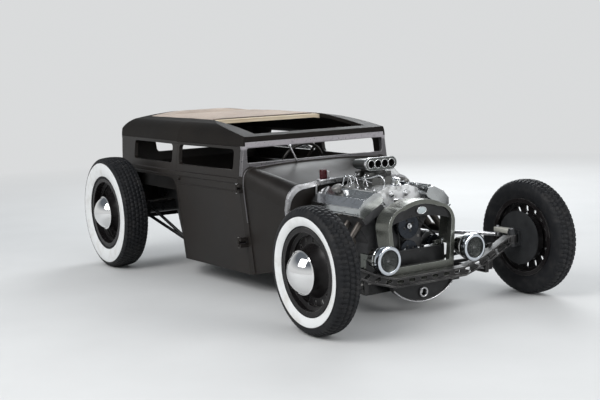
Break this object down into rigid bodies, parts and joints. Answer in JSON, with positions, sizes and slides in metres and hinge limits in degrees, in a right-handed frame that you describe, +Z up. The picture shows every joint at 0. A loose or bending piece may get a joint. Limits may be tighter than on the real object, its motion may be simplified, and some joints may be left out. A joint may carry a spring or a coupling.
{
  "type": "hot rod",
  "caption": "Open-engined, fenderless hot rod: chopped two-door sedan body on a stepped frame, with steering, opening doors and free-turning wheels.",
  "frame": {"origin": "on the ground midway along the car and on its centre line", "axes": "+X forward, +Y to the car's left, +Z up"},
  "size_m": [3.3419, 1.858, 1.0986],
  "materials": {
    "body_paint": "satin, worn brownish black",
    "bare_steel": "dull bare metal",
    "bow_wood": "pale, dry",
    "roof_cloth": "woven, faded tan",
    "cabin_steel": "matt",
    "seat_leather": "worn",
    "chassis_paint": "semi-gloss black",
    "wheel_plastic": "gloss",
    "spring_steel": "oiled, dull",
    "knuckle_steel": "dull",
    "engine_iron": "oily, dark",
    "cover_aluminium": "polished",
    "intake_aluminium": "cast, dull",
    "scoop_aluminium": "polished",
    "pipe_steel": "heat-stained",
    "shell_paint": "satin gunmetal",
    "lamp_chrome": "bright",
    "lens_glass": "clear, fluted",
    "tyre_rubber": "matt black with a wide white sidewall",
    "rim_paint": "gloss black",
    "cap_chrome": "bright"
  },
  "bodies": {
    "chassis": {"cowl": "body_paint", "firewall": "body_paint", "hood_ledge": "bare_steel", "windshield_frame": "body_paint", "roof_shell": "body_paint", "roof_bows": "bow_wood", "roof_fabric": "roof_cloth", "quarter_panels": "body_paint", "rear_panel": "body_paint", "floor": "cabin_steel", "dash": "body_paint", "seats": "seat_leather", "steering_column": "chassis_paint", "frame": "chassis_paint", "front_axle": "chassis_paint", "leaf_springs": "spring_steel", "radius_rods": "chassis_paint", "rear_axle": "chassis_paint", "propshaft": "chassis_paint", "engine_block": "engine_iron", "valve_covers": "cover_aluminium", "intake": "intake_aluminium", "air_scoop": "scoop_aluminium", "headers": "pipe_steel", "pulleys": "pipe_steel", "alternator": "intake_aluminium", "gearbox": "intake_aluminium", "grille_shell": "shell_paint", "apron": "chassis_paint", "badge_panel": "bare_steel", "headlamps": "lamp_chrome", "lamp_lenses": "lens_glass"},
    "door_left": {"door_left": "body_paint"},
    "door_right": {"door_right": "body_paint"},
    "steering_wheel": {"steering_wheel": "wheel_plastic"},
    "knuckle_left": {"knuckle_left": "knuckle_steel"},
    "knuckle_right": {"knuckle_right": "knuckle_steel"},
    "tie_rod": {"tie_rod": "chassis_paint"},
    "pitman_arm": {"pitman_arm": "chassis_paint"},
    "drag_link": {"drag_link": "chassis_paint"},
    "wheel_front_left": {"tyre_front_left": "tyre_rubber", "rim_front_left": "rim_paint", "cap_front_left": "cap_chrome"},
    "wheel_front_right": {"tyre_front_right": "tyre_rubber", "rim_front_right": "rim_paint", "cap_front_right": "cap_chrome"},
    "wheel_rear_left": {"tyre_rear_left": "tyre_rubber", "rim_rear_left": "rim_paint", "cap_rear_left": "cap_chrome"},
    "wheel_rear_right": {"tyre_rear_right": "tyre_rubber", "rim_rear_right": "rim_paint", "cap_rear_right": "cap_chrome"}
  },
  "joints": [
    {"name": "steer_left", "type": "hinge", "parent": "chassis", "child": "knuckle_left", "pos_m": [1.326, 0.64, 0.345], "axis": [0, 0, 1], "range_deg": [-32, 32]},
    {"name": "steer_right", "type": "hinge", "parent": "chassis", "child": "knuckle_right", "pos_m": [1.326, -0.64, 0.345], "axis": [0, 0, 1], "range_deg": [-32, 32]},
    {"name": "tie_rod_pivot", "type": "hinge", "parent": "knuckle_left", "child": "tie_rod", "pos_m": [1.206, 0.64, 0.235], "axis": [0, 0, 1], "range_deg": [-32, 32]},
    {"name": "steering_wheel_turn", "type": "hinge", "parent": "chassis", "child": "steering_wheel", "pos_m": [-0.35, 0.25, 0.7], "axis": [-0.9566, 0, 0.2916], "range_deg": [-450, 450]},
    {"name": "pitman_turn", "type": "hinge", "parent": "chassis", "child": "pitman_arm", "pos_m": [0.9, 0.36, 0.342], "axis": [0, 0, 1], "range_deg": [-32, 32]},
    {"name": "drag_link_pivot", "type": "hinge", "parent": "pitman_arm", "child": "drag_link", "pos_m": [0.78, 0.36, 0.36], "axis": [0, 0, 1], "range_deg": [-32, 32]},
    {"name": "wheel_front_left_spin", "type": "hinge", "parent": "knuckle_left", "child": "wheel_front_left", "pos_m": [1.326, 0.77, 0.345], "axis": [0, 1, 0], "continuous": true},
    {"name": "wheel_front_right_spin", "type": "hinge", "parent": "knuckle_right", "child": "wheel_front_right", "pos_m": [1.326, -0.77, 0.345], "axis": [0, 1, 0], "continuous": true},
    {"name": "wheel_rear_left_spin", "type": "hinge", "parent": "chassis", "child": "wheel_rear_left", "pos_m": [-1.274, 0.775, 0.397], "axis": [0, 1, 0], "continuous": true},
    {"name": "wheel_rear_right_spin", "type": "hinge", "parent": "chassis", "child": "wheel_rear_right", "pos_m": [-1.274, -0.775, 0.397], "axis": [0, 1, 0], "continuous": true},
    {"name": "door_left_hinge", "type": "hinge", "parent": "chassis", "child": "door_left", "pos_m": [0.196, 0.587, 0.5], "axis": [0, 0, -1], "range_deg": [0, 65]},
    {"name": "door_right_hinge", "type": "hinge", "parent": "chassis", "child": "door_right", "pos_m": [0.196, -0.587, 0.5], "axis": [0, 0, 1], "range_deg": [0, 65]}
  ],
  "couplings": [
    {"joint": "steer_right", "follows": "steer_left", "ratio": 1},
    {"joint": "tie_rod_pivot", "follows": "steer_left", "ratio": -1},
    {"joint": "pitman_turn", "follows": "steer_left", "ratio": 1},
    {"joint": "drag_link_pivot", "follows": "steer_left", "ratio": -1},
    {"joint": "steering_wheel_turn", "follows": "steer_left", "ratio": 14}
  ]
}
